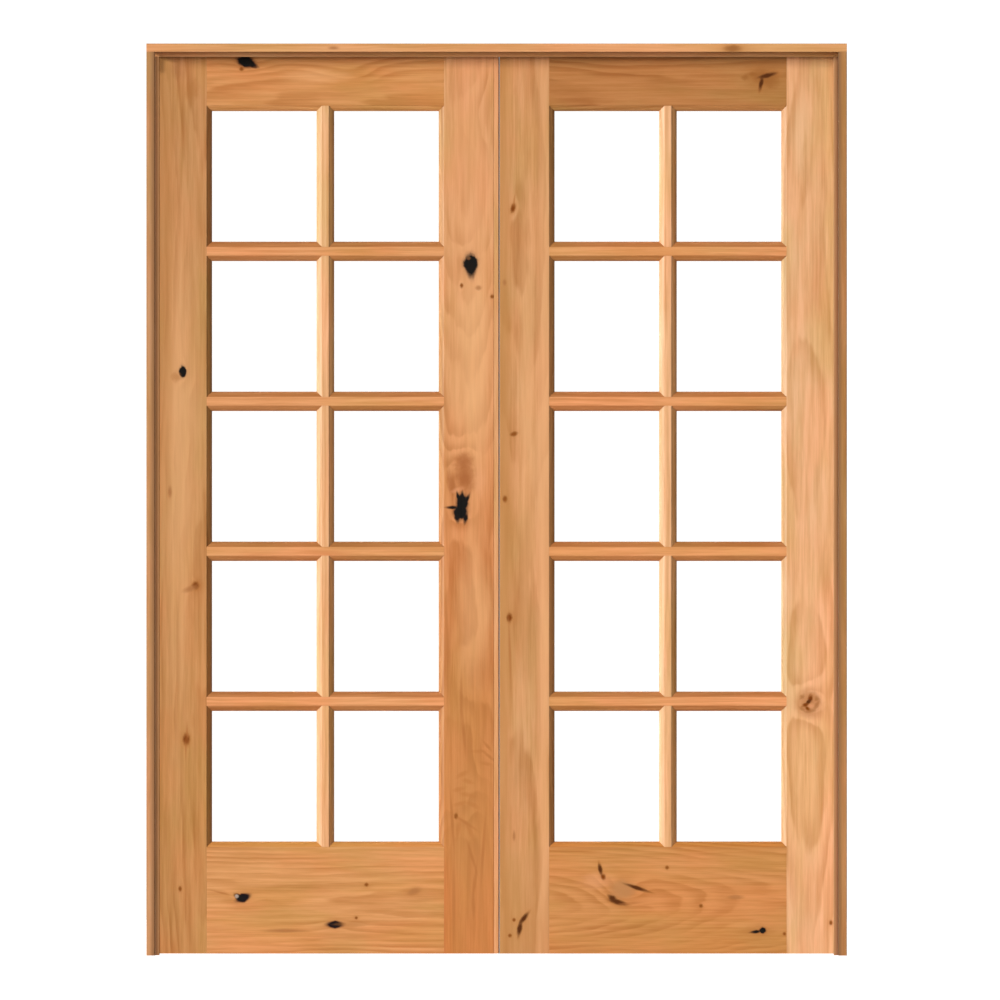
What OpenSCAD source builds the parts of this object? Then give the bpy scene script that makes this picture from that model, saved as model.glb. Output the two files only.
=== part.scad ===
// French doors: two glazed leaves hung in their own jamb frame.
// The stops and the deep side of the frame face -Y, and the leaves open towards +Y.
// The origin is on the floor, at the middle of the whole unit's width and depth.

/* [Leaf] */
// Width of each leaf
leaf_w = 762; // [600:1:920]
// Height of each leaf
leaf_h = 2032; // [1700:1:2440]
// Thickness of each leaf
leaf_t = 35; // [32:0.5:45]
// Flat face of each stile, without its moulded edge
stile_w = 113; // [90:1:150]
// Flat face of the top rail, without its moulded edge
top_rail_h = 117; // [90:1:160]
// Flat face of the bottom rail, without its moulded edge
bottom_rail_h = 241; // [160:1:320]
// Flat face of the upright glazing bar
upright_bar_w = 16; // [12:1:40]
// Flat face of the level glazing bars
level_bar_h = 20; // [12:1:40]
// Rows of lites in each leaf
lites_up = 5; // [2:1:5]
// Width of the strip on the left leaf's meeting edge, at its back
strip_w = 11.5; // [8:0.1:20]

/* [Moulded edge and glass] */
// Width of the moulded edge round each lite
stick_w = 12; // [8:0.5:16]
// Depth of the moulded edge where it meets the lite
stick_d = 11.2; // [8:0.1:14]
// Small square step where the moulded edge leaves the flat face
stick_step = 1.2; // [0.5:0.1:2]
// Radius of the moulded edge's round
stick_r = 22; // [14:1:40]
// Depth from the front face to the glass
glass_y = 17; // [15:0.5:20]
// Thickness of the glass
glass_t = 4; // [3:0.5:6]
// Width of the rebate that holds the glass and its beads
rebate_w = 9; // [7:0.5:9]
// Play between the glass and the rebate all round
glass_play = 1.5; // [1:0.1:3]
// Distance from the back of the beads to the leaf's back face
bead_recess = 1; // [0.5:0.1:2]
// Open joint at the mitres of the beads, on each bead
mitre_gap = 0.1; // [0.05:0.05:0.3]
// Radius of the round on the beads
bead_r = 5; // [3:0.5:6]

/* [Frame] */
// Thickness of the jambs
jamb_t = 19; // [17:0.5:32]
// Depth of the jambs
jamb_d = 116; // [100:1:170]
// Thickness of the stops
stop_t = 10; // [8:0.5:16]
// Width of the stops
stop_w = 32; // [25:1:45]
// Clearance between the stops and the closed leaves
stop_gap = 1.5; // [1:0.1:3]

/* [Gaps] */
// Gap between each leaf and its side jamb
hinge_gap = 3.2; // [2.5:0.1:4]
// Gap between the meeting strip and the right leaf, at their backs
meeting_gap = 0.3; // [0.3:0.1:3]
// Angle that the strip's edge and the right leaf's are planed to, to swing past each other
meeting_angle = 2; // [2:0.1:5]
// Gap between the leaves and the head jamb
head_gap = 3.2; // [2:0.1:6]
// Gap between the leaves and the floor
floor_gap = 3.2; // [2:0.1:12]
// Width of the eased corners of the boards
ease = 0.8; // [0.4:0.1:1.5]

/* [Hinges] */
// Height of each hinge
hinge_h = 89; // [76:1:114]
// Reach of the hinge plates into the wood
plate_in = 30; // [25:1:30]
// Thickness of the hinge plates
plate_t = 2.2; // [1.8:0.1:3]
// Radius of the hinge plates' corners
plate_corner = 6.4; // [3:0.1:12]
// Radius of the hinge barrel
barrel_r = 6; // [5:0.1:6]
// Distance from the leaf's back face to the pin's axis
pin_offset = 6.5; // [6.5:0.1:8]
// Radius of the hinge pins
pin_r = 3.2; // [2.5:0.1:3.5]
// Radial clearance between the pins and the knuckles
pin_play = 0.05; // [0.02:0.01:0.1]
// Gap between one knuckle and the next
knuckle_gap = 0.4; // [0.2:0.1:0.8]
// Distance from a leaf's top to the top of its upper hinge
top_hinge_drop = 178; // [150:1:250]
// Height of the lower hinge's foot over the floor
bottom_hinge_rise = 279; // [180:1:320]

/* [Screws and dowels] */
// Length of the hinge screws
hinge_screw_l = 16; // [12:0.5:16]
// Length of the screws through the head jamb
frame_screw_l = 60; // [50:1:80]
// Radius of the screws' shanks
shank_r = 2.2; // [1.5:0.1:2.5]
// Radius of the screws' heads
screw_head_r = 4.2; // [3:0.1:4.6]
// Radius of the dowels
dowel_r = 6; // [4:0.5:6]
// Length of the dowels
dowel_l = 100; // [60:1:120]

/* [Hidden] */
SIDES = ["left", "right"];
HEIGHTS = ["bottom", "middle", "top"];
$fn = 64;

alder = "#D79A60";
alder_pale = "#E3AA74";
alder_bar = "#E0A067";
clear_glass = [0.86, 0.94, 0.95, 0.35];
bronze = "#4B3A2D";
steel = "#8C8A86";

over = 1;                // how far a cut runs past the wood
screw_play = 0.05;       // radial clearance round a screw's shank
screw_head_h = 2;        // depth of a countersunk head
screw_tip_l = 4;         // length of a screw's point
screw_tip_r = 0.4;       // radius of a screw's point at its end
recess_l = 4.6;          // length of each arm of the cross recess
recess_w = 1.1;          // width of each arm of the cross recess
recess_d = 1.4;          // depth of the cross recess
mortise_play = 0.2;      // clearance round a hinge plate in its mortise
knuckles = 5;            // knuckles in each hinge
knuckle_play = 0.4;      // room between a plate and the other plate's knuckles
pin_head_r = 5.2;        // radius of a pin's head
pin_head_h = 2;          // straight height of a pin's head
pin_dome_h = 1.4;        // height of the dome on a pin's head
hinge_screw_inset = 14;  // outer hinge screws from the plate's ends
hinge_screw_far = 21;    // outer hinge screws from the wood's back face
hinge_screw_near = 9;    // middle hinge screw from the wood's back face
dowel_margin = 26;       // outer dowels from a rail's edges
dowel_pitch = 40;        // largest spacing of the dowels
frame_screw_inset = 25;  // outer frame screws from the head jamb's faces

// the opening, the whole unit and the places of its pieces
opening_w = 2 * leaf_w + strip_w + 2 * hinge_gap + meeting_gap;
opening_h = floor_gap + leaf_h + head_gap;
unit_w = opening_w + 2 * jamb_t;
unit_h = opening_h + jamb_t;
barrel_reach = pin_offset + barrel_r;
jamb_front = -(jamb_d + barrel_reach) / 2;
jamb_back = jamb_front + jamb_d;
leaf_front = jamb_back - leaf_t;
leaf_x = -opening_w / 2 + hinge_gap;
stop_back = leaf_front - stop_gap;
meeting_bevel = leaf_t * tan(meeting_angle);

// the leaf's grid: positions run from the hinge edge and from the foot
stile_full = stile_w + stick_w;
upright_full = upright_bar_w + 2 * stick_w;
level_full = level_bar_h + 2 * stick_w;
bottom_full = bottom_rail_h + stick_w;
top_full = top_rail_h + stick_w;
lite_w = (leaf_w - 2 * stile_full - upright_full) / 2;
lite_h = (leaf_h - top_full - bottom_full - (lites_up - 1) * level_full) / lites_up;
upright_x = stile_full + lite_w;
function lite_x(column) = stile_full + column * (lite_w + upright_full);
function lite_z(row) = bottom_full + (row - 1) * (lite_h + level_full);

// the moulded edge is an arc through its two corners
stick_chord = norm([stick_w, stick_d - stick_step]);
stick_rise = sqrt(pow(stick_r, 2) - pow(stick_chord / 2, 2)) / stick_chord;
stick_centre = [stick_w, stick_d + stick_step] / 2 + stick_rise * [stick_d - stick_step, stick_w];

// hinges
pin_x = -opening_w / 2 + hinge_gap / 2;
pin_y = jamb_back + pin_offset;
low_hinge_z = bottom_hinge_rise + hinge_h / 2;
high_hinge_z = floor_gap + leaf_h - top_hinge_drop - hinge_h / 2;
hinge_zs = [low_hinge_z, (low_hinge_z + high_hinge_z) / 2, high_hinge_z];
knuckle_h = (hinge_h - (knuckles - 1) * knuckle_gap) / knuckles;
plate_reach = pin_offset + plate_in;
knuckle_room = barrel_r + knuckle_play;
hinge_screws = [
    [-pin_offset - hinge_screw_far, hinge_h / 2 - hinge_screw_inset],
    [-pin_offset - hinge_screw_near, 0],
    [-pin_offset - hinge_screw_far, -hinge_h / 2 + hinge_screw_inset]
];
pin_dome_r = (pow(pin_head_r, 2) + pow(pin_dome_h, 2)) / (2 * pin_dome_h);
function knuckle_z(k) = -hinge_h / 2 + k * (knuckle_h + knuckle_gap);

// ---- placing and extruding ----

// The right half of the unit is the left half seen in a mirror.
module on_side(side) {
    mirror([side == "right" ? 1 : 0, 0, 0]) children();
}

// Leaf space: x from the hinge edge, y from the front face, z from the foot.
module in_leaf() {
    translate([leaf_x, leaf_front, floor_gap]) children();
}

// Hinge space: the pin's axis at the middle of one hinge's height.
module at_hinge(h) {
    translate([pin_x, pin_y, hinge_zs[search([h], HEIGHTS)[0]]]) children();
}

// A board that runs along X. Its outline is drawn as [z, y].
module level(length) {
    rotate([90, 0, 90]) linear_extrude(length) mirror([1, -1, 0]) children();
}

// A plate that lies across X. Its outline is drawn as [y, z].
module slab(thickness) {
    rotate([90, 0, 90]) linear_extrude(thickness) children();
}

// ---- outlines, drawn as [across the board, depth] ----

// A board with its four long corners eased.
module board_outline(width, depth) {
    polygon([
        [ease, 0], [width - ease, 0], [width, ease], [width, depth - ease],
        [width - ease, depth], [ease, depth], [0, depth - ease], [0, ease]
    ]);
}

// What the moulded edge and the rebate take from a board whose lite is below 0.
module lite_edge() {
    difference() {
        translate([-over, -over]) square([stick_w + over, stick_d + over]);
        translate(stick_centre) circle(r = stick_r);
    }
    translate([-over, glass_y]) square([rebate_w + over, leaf_t - glass_y + over]);
}

// How far an edge that is planed back by bevel at its front lies back at a depth.
function planed(bevel, depth) = bevel * (1 - depth / leaf_t);

// A stile or rail: eased outer edge at 0, moulded edge at its full width.
module rail_outline(width, bevel = 0) {
    difference() {
        polygon([
            [bevel + ease, 0], [width, 0], [width, leaf_t], [ease, leaf_t],
            [planed(bevel, leaf_t - ease), leaf_t - ease], [planed(bevel, ease), ease]
        ]);
        translate([width, 0]) mirror([1, 0, 0]) lite_edge();
    }
}

// A glazing bar: moulded on both edges.
module bar_outline(width) {
    difference() {
        square([width, leaf_t]);
        lite_edge();
        translate([width, 0]) mirror([1, 0, 0]) lite_edge();
    }
}

// A glazing bead, with its sight edge at 0 and the wood below 0.
module bead_outline() {
    bead_front = glass_y + glass_t;
    bead_back = leaf_t - bead_recess;
    round_at = bead_r + ease;
    difference() {
        translate([-rebate_w, bead_front]) square([rebate_w, bead_back - bead_front]);
        difference() {
            translate([-round_at, bead_back - round_at]) square(round_at + over);
            translate([-round_at, bead_back - round_at]) circle(r = bead_r);
        }
    }
}

// ---- the leaf's boards in leaf space, before they are cut to each other ----

module hinge_stile_board() {
    linear_extrude(leaf_h) rail_outline(stile_full);
}

module meeting_stile_board(bevel = 0) {
    translate([leaf_w, 0, 0]) mirror([1, 0, 0]) linear_extrude(leaf_h) rail_outline(stile_full, bevel);
}

module bottom_rail_board() {
    translate([stile_w, 0, 0]) level(leaf_w - 2 * stile_w) rail_outline(bottom_full);
}

module top_rail_board() {
    translate([stile_w, 0, leaf_h]) mirror([0, 0, 1]) level(leaf_w - 2 * stile_w) rail_outline(top_full);
}

module upright_bar_board() {
    translate([upright_x, 0, bottom_rail_h])
        linear_extrude(leaf_h - top_rail_h - bottom_rail_h) bar_outline(upright_full);
}

module level_bar_board(i) {
    translate([stile_w, 0, lite_z(i + 1) - level_full]) level(leaf_w - 2 * stile_w) bar_outline(level_full);
}

// Everything in front of the glass, or everything behind its front face.
module front_half() {
    translate([0, -over, 0]) cube([leaf_w, glass_y + over, leaf_h]);
}

module back_half() {
    translate([0, glass_y, 0]) cube([leaf_w, leaf_t - glass_y + over, leaf_h]);
}

// Dowels of one rail, centred on the joint with the hinge stile.
module rail_dowels(low, high) {
    span = high - low - 2 * dowel_margin;
    count = ceil(span / dowel_pitch);
    for (n = [0 : count])
        translate([stile_w - dowel_l / 2, leaf_t / 2, low + dowel_margin + n * span / count])
            rotate([0, 90, 0]) cylinder(r = dowel_r, h = dowel_l);
}

module hinge_side_dowels() {
    rail_dowels(0, bottom_rail_h);
    rail_dowels(leaf_h - top_rail_h, leaf_h);
}

module meeting_side_dowels() {
    translate([leaf_w, 0, 0]) mirror([1, 0, 0]) hinge_side_dowels();
}

// ---- screws and hinges ----

// A countersunk screw along +Z, with the top of its head at 0.
module wood_screw(length) {
    difference() {
        union() {
            cylinder(r1 = screw_head_r, r2 = shank_r, h = screw_head_h);
            cylinder(r = shank_r, h = length - screw_tip_l);
            translate([0, 0, length - screw_tip_l])
                cylinder(r1 = shank_r, r2 = screw_tip_r, h = screw_tip_l);
        }
        for (turn = [0, 90])
            rotate(turn) translate([-recess_l / 2, -recess_w / 2, -over])
                cube([recess_l, recess_w, recess_d + over]);
    }
}

// The hole that the shank of such a screw sits in.
module pilot(length) {
    translate([0, 0, -over]) cylinder(r = shank_r + screw_play, h = length + 2 * over);
}

// The leaf's hinge screws, along +X from the face of its plate.
module at_plate_screws() {
    for (place = hinge_screws)
        translate([hinge_gap / 2, place.x, place.y]) rotate([0, 90, 0]) children();
}

// A plate's outline as [y, z]: round corners at -reach, cut off square at -near.
module plate_outline(reach, near, height, corner) {
    translate([-reach + corner, -height / 2]) square([reach - corner - near, height]);
    translate([-reach, -height / 2 + corner]) square([corner + over, height - 2 * corner]);
    for (end = [-1, 1])
        translate([-reach + corner, end * (height / 2 - corner)]) circle(r = corner);
}

// The leaf's plate with the knuckles given, in hinge space.
module hinge_plate(own) {
    difference() {
        union() {
            translate([hinge_gap / 2, 0, 0])
                slab(plate_t) plate_outline(plate_reach, knuckle_room, hinge_h, plate_corner);
            for (k = own) {
                translate([hinge_gap / 2, -knuckle_room - over, knuckle_z(k)])
                    cube([plate_t, knuckle_room + over, knuckle_h]);
                translate([0, 0, knuckle_z(k)]) cylinder(r = barrel_r, h = knuckle_h);
            }
        }
        translate([0, 0, -hinge_h / 2 - over])
            cylinder(r = pin_r + pin_play, h = hinge_h + 2 * over);
        at_plate_screws() {
            cylinder(r1 = screw_head_r, r2 = shank_r, h = screw_head_h);
            pilot(plate_t);
        }
    }
}

// What a leaf's plate and its screws take from the wood, in hinge space.
module plate_seat() {
    translate([hinge_gap / 2 - over, 0, 0])
        slab(plate_t + over)
            plate_outline(plate_reach + mortise_play, pin_offset - over,
                hinge_h + 2 * mortise_play, plate_corner + mortise_play);
    at_plate_screws() pilot(hinge_screw_l);
}

module hinge_pin() {
    translate([0, 0, -hinge_h / 2]) cylinder(r = pin_r, h = hinge_h);
    translate([0, 0, hinge_h / 2]) {
        cylinder(r = pin_head_r, h = pin_head_h);
        translate([0, 0, pin_head_h]) rotate_extrude()
            intersection() {
                translate([0, pin_dome_h - pin_dome_r]) circle(r = pin_dome_r);
                square([pin_head_r, pin_dome_h]);
            }
    }
}

module at_frame_screws(side) {
    on_side(side)
        for (y = [frame_screw_inset, jamb_d / 2, jamb_d - frame_screw_inset])
            translate([-(opening_w + jamb_t) / 2, jamb_front + y, unit_h]) mirror([0, 0, 1]) children();
}

// ---- frame ----

module head_jamb() {
    color(alder_pale) difference() {
        translate([-unit_w / 2, jamb_front, opening_h]) level(unit_w) board_outline(jamb_t, jamb_d);
        for (side = SIDES) at_frame_screws(side) {
            cylinder(r1 = screw_head_r, r2 = shank_r, h = screw_head_h);
            pilot(frame_screw_l);
        }
    }
}

module jamb(side) {
    color(alder) difference() {
        on_side(side) difference() {
            translate([-unit_w / 2, jamb_front, 0]) linear_extrude(opening_h) board_outline(jamb_t, jamb_d);
            for (h = HEIGHTS) at_hinge(h) mirror([1, 0, 0]) plate_seat();
        }
        at_frame_screws(side) pilot(frame_screw_l);
    }
}

module head_stop() {
    color(alder) translate([-opening_w / 2, stop_back - stop_w, opening_h - stop_t])
        level(opening_w) board_outline(stop_t, stop_w);
}

module side_stop(side) {
    color(alder) on_side(side) translate([-opening_w / 2, stop_back - stop_w, 0])
        linear_extrude(opening_h - stop_t) board_outline(stop_t, stop_w);
}

module frame_screws() {
    color(steel) for (side = SIDES) at_frame_screws(side) wood_screw(frame_screw_l);
}

module jamb_hinge(side, h) {
    color(bronze) on_side(side) at_hinge(h) mirror([1, 0, 0])
        hinge_plate([for (k = [0 : 2 : knuckles - 1]) k]);
}

module hinge_pins(side) {
    color(bronze) on_side(side) for (h = HEIGHTS) at_hinge(h) hinge_pin();
}

module jamb_hinge_screws() {
    color(bronze) for (side = SIDES) on_side(side) for (h = HEIGHTS)
        at_hinge(h) mirror([1, 0, 0]) at_plate_screws() wood_screw(hinge_screw_l);
}

// ---- leaves ----

module hinge_stile(side) {
    color(alder_pale) on_side(side) difference() {
        in_leaf() difference() {
            hinge_stile_board();
            hinge_side_dowels();
        }
        for (h = HEIGHTS) at_hinge(h) plate_seat();
    }
}

module meeting_stile(side) {
    color(alder) on_side(side) in_leaf() difference() {
        meeting_stile_board(side == "right" ? meeting_bevel : 0);
        meeting_side_dowels();
    }
}

module bottom_rail(side) {
    color(alder) on_side(side) in_leaf() difference() {
        bottom_rail_board();
        hinge_stile_board();
        meeting_stile_board();
        hinge_side_dowels();
        meeting_side_dowels();
    }
}

module top_rail(side) {
    color(alder) on_side(side) in_leaf() difference() {
        top_rail_board();
        hinge_stile_board();
        meeting_stile_board();
        hinge_side_dowels();
        meeting_side_dowels();
    }
}

// The bars are halved where they cross: a level bar keeps its front, the upright its back.
module upright_bar(side) {
    color(alder_bar) on_side(side) in_leaf() difference() {
        upright_bar_board();
        bottom_rail_board();
        top_rail_board();
        for (i = [1 : lites_up - 1]) intersection() {
            level_bar_board(i);
            front_half();
        }
    }
}

module level_bar(side, i) {
    color(alder_bar) on_side(side) in_leaf() difference() {
        level_bar_board(i);
        hinge_stile_board();
        meeting_stile_board();
        intersection() {
            upright_bar_board();
            back_half();
        }
    }
}

module panes_row(side, row) {
    lap = rebate_w - glass_play;
    color(clear_glass) on_side(side) in_leaf() for (column = [0, 1])
        translate([lite_x(column) - lap, glass_y, lite_z(row) - lap])
            cube([lite_w + 2 * lap, glass_t, lite_h + 2 * lap]);
}

// One bead along +X with mitred ends, its sight edge at z = 0 and the wood below.
module mitred_bead(length) {
    short = mitre_gap - rebate_w;
    intersection() {
        translate([-rebate_w, 0, 0]) level(length + 2 * rebate_w) bead_outline();
        rotate([-90, 0, 0]) linear_extrude(leaf_t) polygon([
            [short, rebate_w], [length - short, rebate_w],
            [length - mitre_gap, 0], [mitre_gap, 0]
        ]);
    }
}

module glazing_beads(side) {
    color(alder) on_side(side) in_leaf() for (row = [1 : lites_up], column = [0, 1])
        translate([lite_x(column), 0, lite_z(row)]) {
            mitred_bead(lite_w);
            translate([0, 0, lite_h]) mirror([0, 0, 1]) mitred_bead(lite_w);
            mirror([1, 0, 0]) rotate([0, -90, 0]) mitred_bead(lite_h);
            translate([lite_w, 0, 0]) rotate([0, -90, 0]) mitred_bead(lite_h);
        }
}

module dowels(side) {
    color(alder_pale) on_side(side) in_leaf() {
        hinge_side_dowels();
        meeting_side_dowels();
    }
}

module leaf_hinge(side, h) {
    color(bronze) on_side(side) at_hinge(h) hinge_plate([for (k = [1 : 2 : knuckles - 2]) k]);
}

module leaf_hinge_screws(side) {
    color(bronze) on_side(side) for (h = HEIGHTS)
        at_hinge(h) at_plate_screws() wood_screw(hinge_screw_l);
}

// The strip closes the gap that two equal leaves leave between them.
module meeting_strip() {
    color(alder_pale) in_leaf() translate([leaf_w, 0, 0]) linear_extrude(leaf_h) polygon([
        [0, 0], [strip_w - meeting_bevel - ease, 0], [strip_w - planed(meeting_bevel, ease), ease],
        [strip_w - planed(meeting_bevel, leaf_t - ease), leaf_t - ease],
        [strip_w - ease, leaf_t], [0, leaf_t]
    ]);
}

head_jamb();
head_stop();
frame_screws();
jamb_hinge_screws();
meeting_strip();
for (side = SIDES) {
    jamb(side);
    side_stop(side);
    hinge_pins(side);
    hinge_stile(side);
    meeting_stile(side);
    bottom_rail(side);
    top_rail(side);
    upright_bar(side);
    glazing_beads(side);
    dowels(side);
    leaf_hinge_screws(side);
    for (h = HEIGHTS) {
        jamb_hinge(side, h);
        leaf_hinge(side, h);
    }
    for (i = [1 : lites_up - 1])
        level_bar(side, i);
    for (row = [1 : lites_up])
        panes_row(side, row);
}
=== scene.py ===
import math
import bpy
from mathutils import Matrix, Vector


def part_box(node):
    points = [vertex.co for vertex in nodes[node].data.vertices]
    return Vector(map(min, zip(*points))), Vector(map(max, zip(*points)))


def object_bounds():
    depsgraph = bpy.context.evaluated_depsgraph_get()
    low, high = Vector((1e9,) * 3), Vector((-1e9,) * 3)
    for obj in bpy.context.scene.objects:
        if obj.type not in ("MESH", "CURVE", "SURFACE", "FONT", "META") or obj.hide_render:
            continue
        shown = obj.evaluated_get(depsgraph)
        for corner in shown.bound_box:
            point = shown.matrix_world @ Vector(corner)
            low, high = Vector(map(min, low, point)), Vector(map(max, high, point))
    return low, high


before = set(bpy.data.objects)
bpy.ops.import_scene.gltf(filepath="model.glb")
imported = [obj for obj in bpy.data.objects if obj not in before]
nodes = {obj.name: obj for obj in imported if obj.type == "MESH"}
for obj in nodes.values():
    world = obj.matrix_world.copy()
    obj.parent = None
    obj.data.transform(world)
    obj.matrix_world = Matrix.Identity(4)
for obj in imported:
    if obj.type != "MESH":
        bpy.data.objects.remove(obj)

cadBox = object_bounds()
print("frame loaded:", len(nodes), "nodes")


def linear(tone):
    # a 0-255 paint value to the shader's linear colour
    steps = [part / 255 for part in tone]
    return tuple(s / 12.92 if s <= 0.04045 else ((s + 0.055) / 1.055) ** 2.4 for s in steps) + (1.0,)


def feed(tree, sockets, ins):
    # links another node's output to a socket, or sets the socket's plain value
    for key, value in ins.items():
        if isinstance(value, bpy.types.NodeSocket):
            tree.links.new(value, sockets[key])
        else:
            sockets[key].default_value = value


def put(tree, kind, ins=None, **settings):
    node = tree.nodes.new("ShaderNode" + kind)
    for name, value in settings.items():
        setattr(node, name, value)
    feed(tree, node.inputs, ins or {})
    return node


def calc(tree, operation, first, second=0.0, clamp=False):
    return put(tree, "Math", {0: first, 1: second}, operation=operation, use_clamp=clamp).outputs[0]


def centred(tree, value):
    # a noise value moved to run from about -0.5 to 0.5
    return calc(tree, "SUBTRACT", value, 0.5)


def ease(tree, value, low, high, toLow=0.0, toHigh=1.0):
    # a smooth step from low to high
    return put(tree, "MapRange", {"Value": value, "From Min": low, "From Max": high,
                                  "To Min": toLow, "To Max": toHigh},
               interpolation_type="SMOOTHSTEP").outputs["Result"]


def fade(tree, value, low, high):
    # a smooth step down, from full at low to none at high
    return ease(tree, value, low, high, 1.0, 0.0)


def blend(tree, share, base, top, how="MIX"):
    # sockets 6 and 7 are the two colours, and output 2 is the mixed one
    node = put(tree, "Mix", data_type="RGBA", blend_type=how)
    feed(tree, node.inputs, {"Factor": share, 6: base, 7: top})
    return node.outputs[2]


def tint(tree, base, mask, tone, share=1.0):
    # a tone multiplied over the base where the mask is
    weight = calc(tree, "MULTIPLY", mask, share)
    return blend(tree, weight, base, blend(tree, 1.0, base, tuple(tone) + (1.0,), "MULTIPLY"))


def noise(tree, vector, detail=2.0, rough=0.5, scale=1.0):
    return put(tree, "TexNoise", {"Vector": vector, "Scale": scale, "Detail": detail,
                                  "Roughness": rough}).outputs["Fac"]


def drawnNoise(tree, vector, repeats, detail=2.0, rough=0.5, shift=(0.0, 0.0, 0.0)):
    # noise with its own number of repeats in a metre on each axis
    drawn = put(tree, "Mapping", {"Vector": vector, "Scale": repeats, "Location": shift}).outputs[0]
    return noise(tree, drawn, detail, rough)


def newGroup(name, inputs, outputs):
    group = bpy.data.node_groups.new(name, "ShaderNodeTree")
    for label, kind, value in inputs:
        socket = group.interface.new_socket(label, in_out="INPUT", socket_type="NodeSocket" + kind)
        if value is not None:
            socket.default_value = value
    for label, kind in outputs:
        group.interface.new_socket(label, in_out="OUTPUT", socket_type="NodeSocket" + kind)
    return group, group.nodes.new("NodeGroupInput").outputs, group.nodes.new("NodeGroupOutput").inputs


def useGroup(tree, group, ins):
    node = tree.nodes.new("ShaderNodeGroup")
    node.node_tree = group
    feed(tree, node.inputs, ins)
    return node.outputs


def newMaterial(name):
    material = bpy.data.materials.new(name)
    material.use_nodes = True
    tree = material.node_tree
    tree.nodes.clear()
    shader = put(tree, "BsdfPrincipled")
    output = put(tree, "OutputMaterial")
    tree.links.new(shader.outputs[0], output.inputs["Surface"])
    return material, tree, shader.inputs


def dress(nodeName, material):
    mesh = nodes[nodeName].data
    mesh.materials.clear()
    mesh.materials.append(material)


# Each pattern has its repeats in a metre across, through and along the board, its detail and its
# roughness, and each mask starts and is full at its two values. The rings wander by their own
# ripple, and the pith sways over a length in metres, deeper than it does across.
grainKit = dict(
    ripple=((17, 17, 3.4), 3.0, 0.55), wander=0.022, swayLength=1.2, swayDepth=5.0,
    lateRise=(0.1, 0.78), lateFall=(0.82, 1.0),
    strength=((26, 26, 3.0), 2.0), strengthMask=(0.36, 0.62, 0.2, 1.0),
    fibre=((620, 620, 9), 2.0, 0.6), fibreMask=(0.3, 0.7),
    streak=((120, 120, 4.5), 4.0, 0.7), streakMask=(0.35, 0.66),
    cloud=((15, 15, 4.2), 3.0), cloudMask=(0.38, 0.62),
    patch=((13, 13, 3.4), 3.0, 0.5, (1.7, 0.4, 3.9)), patchMask=(0.42, 0.66))


# Grain of a sawn board: growth rings round a swaying pith, streaks, fibres and slow clouds.
# Board space is x across the face, y through the thickness and z along the grain.
def makeGrain():
    group, given, result = newGroup(
        "sawnGrain",
        [("Vector", "Vector", None), ("Pith X", "Float", 0.0), ("Pith Depth", "Float", 0.06),
         ("Sway", "Float", 0.03), ("Ring Width", "Float", 0.01), ("Bend", "Float", 0.0),
         ("Shift", "Vector", None)],
        [("Rings", "Float"), ("Fibre", "Float"), ("Streak", "Float"), ("Cloud", "Float"),
         ("Patch", "Float")])
    kit = grainKit
    spot = put(group, "VectorMath", {0: given["Vector"], 1: given["Shift"]}, operation="ADD").outputs[0]
    along = put(group, "SeparateXYZ", {0: given["Vector"]}).outputs
    slow = put(group, "CombineXYZ", {
        "X": put(group, "SeparateXYZ", {0: given["Shift"]}).outputs["X"],
        "Z": calc(group, "DIVIDE", along["Z"], kit["swayLength"])}).outputs[0]
    wander = put(group, "TexNoise", {"Vector": slow, "Scale": 1.0, "Detail": 1.0}).outputs["Color"]
    drift = put(group, "SeparateXYZ", {0: wander}).outputs
    swayX = calc(group, "MULTIPLY", centred(group, drift["X"]), given["Sway"])
    swayY = calc(group, "MULTIPLY", centred(group, drift["Y"]),
                 calc(group, "MULTIPLY", given["Sway"], kit["swayDepth"]))
    acrossX = calc(group, "SUBTRACT", calc(group, "ADD", along["X"], swayX), given["Pith X"])
    acrossY = calc(group, "ADD", calc(group, "ADD", along["Y"], swayY), given["Pith Depth"])
    radius = calc(group, "SQRT", calc(group, "ADD", calc(group, "MULTIPLY", acrossX, acrossX),
                                      calc(group, "MULTIPLY", acrossY, acrossY)))
    # the rings wander a little on their own, and knots push them aside
    ripple = centred(group, drawnNoise(group, spot, *kit["ripple"]))
    radius = calc(group, "ADD", radius, calc(group, "MULTIPLY", ripple, kit["wander"]))
    radius = calc(group, "ADD", radius, given["Bend"])
    phase = calc(group, "FRACT", calc(group, "DIVIDE", radius, given["Ring Width"]))
    late = calc(group, "MULTIPLY", ease(group, phase, *kit["lateRise"]),
                fade(group, phase, *kit["lateFall"]))
    strength = ease(group, drawnNoise(group, spot, *kit["strength"]), *kit["strengthMask"])
    group.links.new(calc(group, "MULTIPLY", late, strength), result["Rings"])
    for label in ("Fibre", "Streak", "Cloud", "Patch"):
        pattern = drawnNoise(group, spot, *kit[label.lower()])
        group.links.new(ease(group, pattern, *kit[label.lower() + "Mask"]), result[label])
    return group


# Seeds make each mark's edge its own. Chips have their detail, roughness and scale. The rim, the
# stain and the push on the rings spread from the core in core widths.
markKit = dict(seedX=37.0, seedZ=23.0, chips=(3.0, 0.6, 1.3), chipsInStain=1.1, rimStart=0.9,
               rimSpread=0.4, stainStart=0.6, pushBase=2.718, pushFall=-0.16)


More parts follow.
